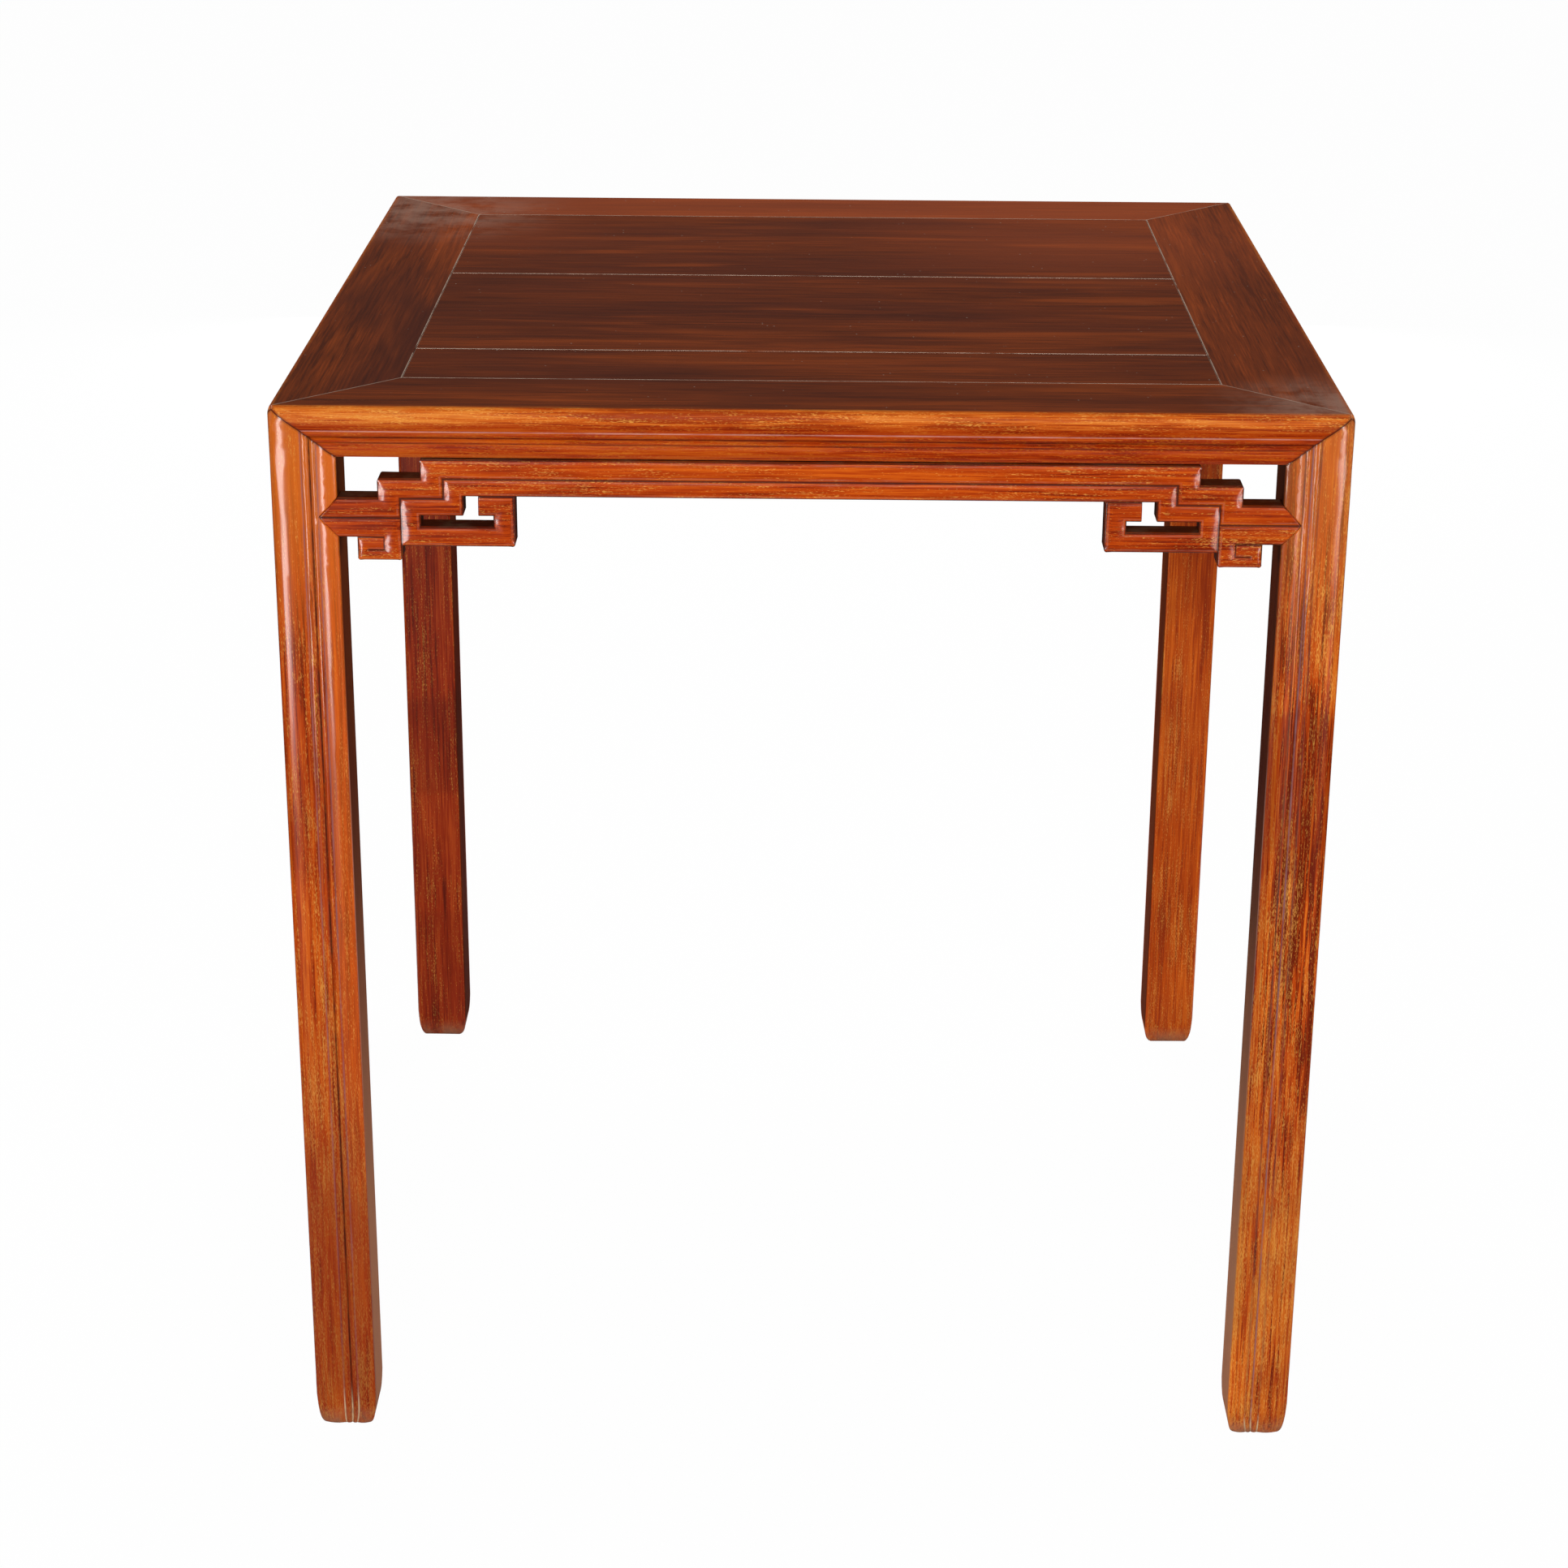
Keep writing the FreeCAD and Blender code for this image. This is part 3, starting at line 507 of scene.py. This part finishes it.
def legColor(wood, tones, color):          # how the wood's colour changes up and across the leg
    tree, height = wood.tree, wood.away["Height"]
    for low, high, soft, amount in tones["darker"]:
        stretch = between(tree, height, (low - soft, low + soft), (high - soft, high + soft))
        color = blend(tree, times(tree, stretch, amount), color, tones["dark"])
    if "top" in tones:
        upper = times(tree, fade(tree, height, *legFinish["topAbove"]), tones["topShare"])
        color = blend(tree, upper, color, tones["top"])
    color = stained(wood, color, legFinish, tones["dark"])
    # the inner band is painted lighter on the left front leg as painted light, and darker on the right front
    # leg as painted shade
    if "innerBandShading" in tones:
        band = times(tree, fade(tree, wood.away["Across"], *tones["innerBandShadingFrom"]),
                     fade(tree, height, *legFinish["innerBandShadingAbove"]), tones["innerBandShadingShare"])
        color = blend(tree, band, color, tones["innerBandShading"])
    return color


def shadedInnerWall(wood, tones, color):         # the colour with the wall's painted shade, and where that wall is, which is also left nearly unpolished
    finish, tree, height = legFinish, wood.tree, wood.away["Height"]
    near, full = finish["wallNear"]
    wall = times(tree, fade(tree, wood.away["FromSide"], legWidth - near, legWidth - full),
                 fade(tree, wood.away["Depth"], *finish["wallDepth"]), finish["shadedAndUnpolished"])
    # the wall's painted shade: a lower tone below, which on the front legs is painted light from the floor,
    # and painted shadow high up under the stretchers
    tone = blend(tree, below(tree, height, *finish["wallLowerShadingBelow"]), finish["wall"], tones["wallLowerShading"])
    high = times(tree, fade(tree, height, *finish["wallUpperShadeAbove"]), finish["wallUpperShadeShare"])
    tone = blend(tree, high, tone, finish["wallUpperShade"])
    return blend(tree, wall, color, tone), wall


def footWax(wood, color, lines, low):
    finish, tree, height = legFinish, wood.tree, wood.away["Height"]
    patchy = fade(tree, wood.marks["Film"], *finish["waxFrom"])
    filled = larger(tree, patchy, below(tree, height, *finish["waxAlwaysBelow"]))
    color = blend(tree, times(tree, lines, low, filled), color, finish["wax"])
    dust = times(tree, below(tree, height, *finish["dustBelow"]),
                 addShare(tree, finish["leastDust"], patchy, finish["dustShare"]))
    return blend(tree, dust, color, finish["footDust"])


def legMaterial(node):
    finish, tones = legFinish, legTones[node]
    wood = startWood(node + "_wood", "z", tones["seed"])
    tree, height = wood.tree, wood.away["Height"]
    flecks = addShare(tree, tones["flecks"], below(tree, height, *finish["fleckedBelow"]), tones["lowFlecks"])
    calmed = -finish["calm"] * tones["contrast"]
    contrast = addShare(tree, tones["contrast"], fade(tree, height, *finish["calmAbove"]), calmed)
    figure = useGrain(wood, tones, Seed=wood.seed, Flecks=flecks, Contrast=contrast)
    color = legColor(wood, tones, figure["Color"])
    face = useGroup(tree, mouldedFace, Color=color, Across=wood.away["Across"], Height=height,
                    Film=wood.marks["Film"], HazeColor=finish["haze"], HazeShare=finish["hazeShare"],
                    **tones["lines"])
    color, wall = shadedInnerWall(wood, tones, face["Color"])
    low = below(tree, height, *finish["waxBelow"])
    color = footWax(wood, color, face["Lines"], low)
    color = useMitre(wood, color, finish)
    rough = addShare(tree, finish["rough"], face["Groove"], finish["grooveRough"])
    rough = addShare(tree, rough, figure["Fleck"], finish["fleckRough"])
    rough = addShare(tree, rough, low, finish["footRough"])
    rough = addShare(tree, rough, wall, finish["wallRough"], clamp=True)
    gloss = fade(tree, height, *finish["glossAbove"])
    gloss = addShare(tree, finish["leastGloss"], gloss, 1.0 - finish["leastGloss"])
    polished = addShare(tree, 1.0, wall, finish["wallCoatLoss"], clamp=True)
    coat = times(tree, gloss, polished, finish["coat"])
    return finishWood(wood, finish, color, rough, figure["Height"], coat)


for node in legTones:
    workedCopy(node, legMaterial(node), cornerZone=workedEdges["legCorner"])
print("legs worked")


# the top: rails and boards share its polished upper side with its dust, painted lighter towards the rear as
# painted light
# a place of painted light or of dust is its middle, its reach and its amount
topFinish = {
    "tones": {"dark": paint(84, 38, 20), "middle": paint(116, 52, 22), "light": paint(146, 66, 26)},
    "contrast": 1.2, "flecks": -0.9, "fleck": paint(160, 96, 62),
    "smoke": paint(70, 34, 26), "smokePattern": (1.7, 6.5, 3.0, 0.55, 0.4), "smokeFrom": (0.40, 0.62),
    "ember": paint(172, 80, 30), "emberPattern": (3.0, 30.0, 3.0, 0.55, 0.4), "emberFrom": (0.54, 0.74),
    "emberShare": 0.42,
    "rearLightTone": paint(176, 84, 48), "paintedLight": (((0.24, 0.22), 0.26, 0.28), ((-0.30, 0.22), 0.14, 0.15)),
    # the front-right spot is dust, the rear-left one a painted sheen
    "dust": paint(176, 140, 122), "dustAndSheenSpots": (((0.39, -0.37), 0.11, 0.6), ((-0.37, 0.32), 0.17, 0.5)),
    "dustFrom": (0.30, 0.66), "speck": paint(196, 186, 172), "speckShare": 0.6,
    # a seam is its width and how much of the wax shows
    "seamWax": paint(200, 178, 160), "mitreSeam": (0.0012, 0.5), "panelSeam": (0.0010, 0.72),
    "boardSeam": (0.0015, 0.72), "rough": 0.34, "filmRough": 0.16, "relief": 0.001, "specular": 0.06,
    "coat": 0.3, "coatRoughness": 0.20,
}


def makePolishedTop():
    look = topFinish
    tree, given, result = newGroup("polishedTop", {
        "Vector": "Vector", "Along": "Vector", "Seed": 0.0, "Smokiness": 0.5, "Worn": 0.0,
        "Film": 0.5, "Speck": 0.0,
    }, ("Color", "Height"))
    figure = useGroup(tree, woodGrain, Vector=given["Along"], Seed=given["Seed"], Dark=look["tones"]["dark"],
                      Middle=look["tones"]["middle"], Light=look["tones"]["light"], Contrast=look["contrast"],
                      Flecks=look["flecks"], FleckColor=look["fleck"])
    smoke = fade(tree, noise(tree, given["Along"], *look["smokePattern"]), *look["smokeFrom"])
    color = blend(tree, times(tree, smoke, given["Smokiness"]), figure["Color"], look["smoke"])
    ember = fade(tree, noise(tree, given["Along"], *look["emberPattern"]), *look["emberFrom"])
    color = blend(tree, times(tree, ember, look["emberShare"]), color, look["ember"])
    # lighter towards the rear as painted light
    color = blend(tree, given["Worn"], color, look["rearLightTone"])
    filmed = fade(tree, given["Film"], *look["dustFrom"])
    for places, cover, tone in ((look["paintedLight"], 1.0, look["rearLightTone"]), (look["dustAndSheenSpots"], filmed, look["dust"])):
        for spot, reach, amount in places:
            inputs = {0: given["Vector"], 1: (*spot, topHeight)}
            away = addNode(tree, "VectorMath", inputs, operation="DISTANCE").outputs["Value"]
            patch = times(tree, below(tree, away, 0.0, reach), cover, amount)
            color = blend(tree, patch, color, tone)
    color = blend(tree, times(tree, given["Speck"], look["speckShare"]), color, look["speck"])
    fill(tree, result, {"Color": color, "Height": figure["Height"]})
    return tree


polishedTop = makePolishedTop()


def useTop(wood, smokiness, paintedLight=0.0):
    return useGroup(wood.tree, polishedTop, Vector=wood.place, Along=wood.along, Seed=wood.seed, Worn=paintedLight,
                    Smokiness=smokiness, Film=wood.marks["Film"], Speck=wood.marks["Speck"])


def useSeam(wood, color, first, second, seam):   # a waxed line where the two distances are the same
    width, share = topFinish[seam]
    return useGroup(wood.tree, seamLine, Color=color, Distance=minus(wood.tree, first, second), Width=width,
                    Share=share, Film=wood.marks["Film"], WaxColor=topFinish["seamWax"])["Color"]


# the rails' moulded outer faces
railFinish = {
    "tones": {"dark": paint(160, 58, 12), "middle": paint(204, 94, 24), "light": paint(226, 130, 46)},
    "contrast": 1.8, "flecks": 0.42, "seedStep": 20.0, "lowerShadeTint": paint(212, 162, 106),
    "shadedBelow": (0.009, 0.015), "gap": paint(92, 32, 16), "wax": paint(218, 192, 152),
    # haze is wax film with a painted sheen; the pale outer line is a painted highlight over wax film, the
    # dark groove and inner line are painted shade
    "haze": paint(150, 84, 74), "hazeShare": 0.12,
    "lines": {"OuterColor": paint(206, 146, 132), "OuterShare": 0.75, "GrooveColor": paint(92, 32, 16),
              "GrooveShare": 0.9, "InnerColor": paint(88, 36, 24), "InnerShare": 0.7},
    # where the top's finish runs over the edge onto the face
    "edgeWaver": -0.003, "topFrom": (-0.0010, 0.0060), "topDown": (0.0006, 0.0040),
    "rough": 0.34, "grooveRough": 0.2, "topRough": 0.08,
}
# per rail: grain axis, seed, how much smoke darkens its top and how much painted light lightens it
railGrain = {
    "rail_front": ("x", 9.0, 0.5, 0.0), "rail_rear": ("x", 6.0, 0.3, 0.36),
    "rail_left": ("y", 7.0, 0.8, 0.0), "rail_right": ("y", 8.0, 0.3, 0.05),
}


def railMaterial(node):
    finish = railFinish
    axis, seed, smokiness, paintedLight = railGrain[node]
    wood = startWood(node + "_wood", axis, seed)
    tree, away = wood.tree, wood.away
    top = useTop(wood, smokiness, paintedLight)
    upper = useSeam(wood, top["Color"], away["FromSide"], away["FromFront"], "mitreSeam")
    upper = useSeam(wood, upper, frameWidth, away["Depth"], "panelSeam")
    figure = useGrain(wood, finish["tones"], Seed=seed + finish["seedStep"], Flecks=finish["flecks"],
                      Contrast=finish["contrast"])
    # the face below the rail's upper band is darkened as painted shade, so that the upper band, which faces
    # up towards the light, looks lighter
    lower = fade(tree, away["Down"], *finish["shadedBelow"])
    color = blend(tree, lower, figure["Color"], finish["lowerShadeTint"], "MULTIPLY")
    face = useGroup(tree, mouldedFace, Color=color, Across=calc(tree, "DIVIDE", away["Down"], mitreSlope),
                    Height=1.0, Film=wood.marks["Film"], HazeColor=finish["haze"],
                    HazeShare=finish["hazeShare"], **finish["lines"])
    color = useMitre(wood, face["Color"], finish)
    edge = addShare(tree, away["Depth"], wood.marks["Film"], finish["edgeWaver"])
    onTop = times(tree, fade(tree, edge, *finish["topFrom"]), below(tree, away["Down"], *finish["topDown"]))
    rough = addShare(tree, finish["rough"], face["Groove"], finish["grooveRough"])
    rough = addShare(tree, rough, onTop, finish["topRough"], clamp=True)
    return finishWood(wood, topFinish, blend(tree, onTop, color, upper), rough,
                      blendHeight(tree, onTop, figure["Height"], top["Height"]))


# the panel's boards: how much smoke darkens them, and how near the frame an edge has no seam of its own
boardFinish = {
    "seeds": {"board_front": 31.0, "board_middle": 32.0, "board_rear": 33.0},
    "smokiness": 0.55, "byFrame": 0.02,
}


def boardMaterial(node):
    wood = startWood(node + "_wood", "x", boardFinish["seeds"][node])
    top = useTop(wood, boardFinish["smokiness"])
    color = top["Color"]
    acrossBoard = addNode(wood.tree, "SeparateXYZ", {0: wood.place}).outputs[1]
    low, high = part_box(node)
    for limit in (low[1], high[1]):
        if abs(limit) < halfSpan - frameWidth - boardFinish["byFrame"]:
            color = useSeam(wood, color, acrossBoard, limit, "boardSeam")
    color = useSeam(wood, color, frameWidth, wood.away["Depth"], "panelSeam")
    rough = addShare(wood.tree, topFinish["rough"], wood.marks["Film"], topFinish["filmRough"], clamp=True)
    return finishWood(wood, topFinish, color, rough, top["Height"])


for node in railGrain:
    workedCopy(node, railMaterial(node), cornerZone=workedEdges["railCorner"])
for node in boardFinish["seeds"]:
    workedCopy(node, boardMaterial(node), workedEdges["boardEase"])
print("rails and boards worked")


# stretchers; the crease, the pale line beside it and the walls of the openings are found by how far they lie
# behind the outer face; the crease and the walls are painted shade, the pale line a painted highlight with
# some dust
fretFinish = {
    "dark": paint(122, 32, 6), "middle": paint(180, 62, 8), "light": paint(210, 92, 18), "flecks": 0.06,
    "contrast": 1.3, "stainFrom": (0.48, 0.70), "stainShare": 0.35,
    "edge": paint(186, 116, 92), "creaseHighlightFrom": (0.00070, 0.00090), "creaseHighlightTo": (0.00100, 0.00115),
    "creaseHighlightShare": 0.35, "paintedLightPatchFrom": (0.34, 0.62),
    "creaseShade": paint(58, 26, 20), "creaseFrom": (0.00112, 0.00140), "creaseTo": (0.0017, 0.0024),
    "creaseShare": 0.85,
    "wall": paint(38, 22, 16), "wallShadeFrom": (0.0022, 0.0050), "wallShadeShare": 0.85,
    "dust": paint(130, 112, 88), "dustFacing": (0.6, 0.95), "dustFrom": (0.42, 0.66), "dustShare": 0.3,
    "rough": 0.33, "fleckRough": 0.12, "wallRough": 0.30,
    "relief": 0.001, "specular": 0.06, "coat": 0.38, "coatRoughness": 0.18,
}
fretGrain = {                              # grain axis and seed
    "stretcher_front": ("x", 11.0), "stretcher_rear": ("x", 12.0),
    "stretcher_left": ("y", 13.0), "stretcher_right": ("y", 14.0),
}


def fretMaterial(node):
    finish = fretFinish
    axis, seed = fretGrain[node]
    wood = startWood(node + "_wood", axis, seed)
    tree, depth, film = wood.tree, wood.away["Depth"], wood.marks["Film"]
    figure = useGrain(wood, finish, Seed=seed, Flecks=finish["flecks"], Contrast=finish["contrast"])
    color = stained(wood, figure["Color"], finish, finish["dark"])
    # a painted highlight, with some dust, on the slopes beside the crease and along the outer edges
    edge = times(tree, between(tree, depth, finish["creaseHighlightFrom"], finish["creaseHighlightTo"]),
                 fade(tree, film, *finish["paintedLightPatchFrom"]), finish["creaseHighlightShare"])
    color = blend(tree, edge, color, finish["edge"])
    # the crease is darkened as painted shade
    creaseShade = between(tree, depth, finish["creaseFrom"], finish["creaseTo"])
    color = blend(tree, times(tree, creaseShade, finish["creaseShare"]), color, finish["creaseShade"])
    # faces lying behind the outer face, the walls of the openings, are darkened as painted shade
    behind = fade(tree, depth, *finish["wallShadeFrom"])
    color = blend(tree, times(tree, behind, finish["wallShadeShare"]), color, finish["wall"])
    normal = addNode(tree, "NewGeometry").outputs["True Normal"]
    facing = addNode(tree, "SeparateXYZ", {0: normal}).outputs[2]
    dust = times(tree, fade(tree, facing, *finish["dustFacing"]), fade(tree, film, *finish["dustFrom"]),
                 finish["dustShare"])
    color = blend(tree, dust, color, finish["dust"])
    rough = addShare(tree, finish["rough"], figure["Fleck"], finish["fleckRough"])
    rough = addShare(tree, rough, behind, finish["wallRough"], clamp=True)
    return finishWood(wood, finish, color, rough, figure["Height"])


for node in fretGrain:
    workedCopy(node, fretMaterial(node))
print("stretchers worked")


# battens and loose tenons, in plain unpolished wood
plainFinish = {
    "dark": paint(72, 36, 22), "middle": paint(112, 62, 38), "light": paint(142, 88, 56),
    "fleck": paint(170, 126, 86), "flecks": 0.4, "stainFrom": (0.5, 0.7), "stainShare": 0.5, "rough": 0.72,
    "toneRough": -0.08, "relief": 0.002, "specular": 0.3, "coat": 0.0, "coatRoughness": 0.5,
    "battenSeed": 40.0, "tenonSeed": 50.0,
}


def plainMaterial(name, axis, seed):
    finish = plainFinish
    wood = startWood(name, axis, seed)
    figure = useGrain(wood, finish, Seed=seed, Flecks=finish["flecks"], FleckColor=finish["fleck"])
    color = stained(wood, figure["Color"], finish, finish["dark"])
    rough = addShare(wood.tree, finish["rough"], figure["Tone"], finish["toneRough"])
    return finishWood(wood, finish, color, rough, figure["Height"])


for number in (1, 2, 3):
    battenWood = plainMaterial(f"batten_{number}_wood", "y", plainFinish["battenSeed"] + number)
    workedCopy(f"batten_{number}", battenWood)
tenonWood = plainMaterial("loose_tenon_wood", "z", plainFinish["tenonSeed"])
for node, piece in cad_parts.items():
    if node.startswith("loose_tenon"):
        piece.data.materials.clear()
        piece.data.materials.append(tenonWood)
print("battens worked, loose tenons coloured")


# studio: the camera sees white all round, while the wood mirrors a dark room and a sheet under the table
studio = {
    "floorReach": 12.0, "floorColor": (0.8, 0.8, 0.8, 1.0), "floorGlow": 0.985,
    "sheetColor": (0.55, 0.55, 0.55, 1.0), "sheetEdge": 1.0, "sheetFade": 0.3,
    "white": (1.0, 1.0, 1.0, 1.0), "darkRoom": (0.02, 0.02, 0.02, 1.0),
    "mirroredGlow": 0.08, "mirroredRoom": 0.05, "worldLight": 0.04,
}
# the strips only shine and the others only light; strips, side and rear lamps stay lower than the top, so
# that they leave it alone
lamps = {
    "key": {"place": (0.0, -3.6, 1.72), "aim": (0.0, 0.0, 0.6), "size": (1.9, 1.0), "power": 118.0},
    "overhead": {"place": (0.0, 0.9, 2.7), "aim": (0.0, 0.1, 0.8), "size": (0.5, 0.5), "power": 30.0},
    "stripLeft": {"place": (-1.20, -1.96, 0.43), "aim": (-0.4, -0.4, 0.43), "size": (0.38, 0.86),
                  "power": 31.0},
    "stripRight": {"place": (1.66, -2.68, 0.44), "aim": (0.4, -0.4, 0.44), "size": (0.5, 0.84),
                   "power": 30.0},
    "sideLeft": {"place": (-3.2, 0.2, 0.43), "aim": (0.0, 0.1, 0.43), "size": (2.0, 0.8), "power": 38.0},
    "sideRight": {"place": (3.2, 0.2, 0.43), "aim": (0.0, 0.1, 0.43), "size": (2.0, 0.8), "power": 38.0},
    "rear": {"place": (0.0, 3.6, 0.43), "aim": (0.0, 0.0, 0.43), "size": (2.0, 0.8), "power": 80.0},
}


def makeFloor():
    shape = bmesh.new()
    bmesh.ops.create_grid(shape, x_segments=1, y_segments=1, size=studio["floorReach"])
    mesh = bpy.data.meshes.new("floor")
    shape.to_mesh(mesh)
    shape.free()
    floor = bpy.data.objects.new("floor", mesh)
    scene.collection.objects.link(floor)
    material = bpy.data.materials.new("studioFloor")
    material.use_nodes = True
    tree = material.node_tree
    tree.nodes.clear()
    path = addNode(tree, "LightPath").outputs
    reach = addNode(tree, "VectorMath", {0: addNode(tree, "TexCoord").outputs["Object"]}, operation="LENGTH")
    sheetEnd = studio["sheetEdge"] + studio["sheetFade"]
    onSheet = below(tree, reach.outputs["Value"], studio["sheetEdge"], sheetEnd)
    shown = larger(tree, onSheet, path["Is Camera Ray"])
    sheet = blend(tree, onSheet, studio["darkRoom"], studio["sheetColor"])
    cover = blend(tree, path["Is Camera Ray"], sheet, studio["floorColor"])
    plain = addNode(tree, "BsdfDiffuse", {"Color": cover}).outputs[0]
    glow = addNode(tree, "Emission", {"Color": studio["white"], "Strength": 1.0}).outputs[0]
    mirrored = larger(tree, path["Is Glossy Ray"], path["Is Transmission Ray"])
    seen = larger(tree, path["Is Camera Ray"], times(tree, mirrored, studio["mirroredGlow"]))
    amount = times(tree, seen, shown, studio["floorGlow"])
    mixed = addNode(tree, "MixShader", {0: amount, 1: plain, 2: glow}).outputs[0]
    addNode(tree, "OutputMaterial", {0: mixed})
    mesh.materials.append(material)


def makeWorld():
    world = bpy.data.worlds.new("studio")
    world.use_nodes = True
    scene.world = world
    tree = world.node_tree
    tree.nodes.clear()
    path = addNode(tree, "LightPath").outputs
    mirrored = larger(tree, path["Is Glossy Ray"], path["Is Transmission Ray"])
    strength = addShare(tree, studio["worldLight"], mirrored, studio["mirroredRoom"] - studio["worldLight"])
    room = addNode(tree, "Background", {"Color": studio["white"], "Strength": strength}).outputs[0]
    white = addNode(tree, "Background", {"Color": studio["white"], "Strength": 1.0}).outputs[0]
    mixed = addNode(tree, "MixShader", {0: path["Is Camera Ray"], 1: room, 2: white}).outputs[0]
    addNode(tree, "OutputWorld", {0: mixed})


def addSoftBox(name):
    values = lamps[name]
    lamp = bpy.data.lights.new(name, "AREA")
    lamp.shape = "RECTANGLE"
    lamp.size, lamp.size_y = values["size"]
    lamp.energy = values["power"]
    box = bpy.data.objects.new(name, lamp)
    scene.collection.objects.link(box)
    aim = Vector(values["aim"]) - Vector(values["place"])
    box.matrix_world = Matrix.Translation(values["place"]) @ aim.to_track_quat("-Z", "Y").to_matrix().to_4x4()
    box.visible_camera = False
    box.visible_diffuse = not name.startswith("strip")
    box.visible_glossy = name.startswith("strip")


makeFloor()
makeWorld()
for name in lamps:
    addSoftBox(name)
print("studio made")


# camera: its place in metres, angles in degrees, and the focal length in pixels of a square frame
view = {
    "place": (0.0001, -2.7723, 1.4835), "turn": -0.43, "tilt": 21.02, "roll": 0.39,
    "focalPixels": 4106.6, "imagePixels": 1932, "sensor": 36.0, "farEnd": 60.0,
}


def makeCamera():
    data = bpy.data.cameras.new("camera")
    data.sensor_width = view["sensor"]
    data.lens = view["focalPixels"] / view["imagePixels"] * view["sensor"]
    data.clip_end = view["farEnd"]
    camera = bpy.data.objects.new("camera", data)
    scene.collection.objects.link(camera)
    turn, tilt, roll = (math.radians(view[key]) for key in ("turn", "tilt", "roll"))
    ahead = Vector((math.sin(turn) * math.cos(tilt), math.cos(turn) * math.cos(tilt), -math.sin(tilt)))
    right = Vector((math.cos(turn), -math.sin(turn), 0))
    upright = right.cross(ahead)
    side = math.cos(roll) * right + math.sin(roll) * upright
    over = math.cos(roll) * upright - math.sin(roll) * right
    turned = Matrix((side, over, -ahead)).transposed().to_4x4()
    camera.matrix_world = Matrix.Translation(view["place"]) @ turned
    scene.camera = camera


makeCamera()
scene.view_settings.view_transform = "Standard"
print("camera placed")
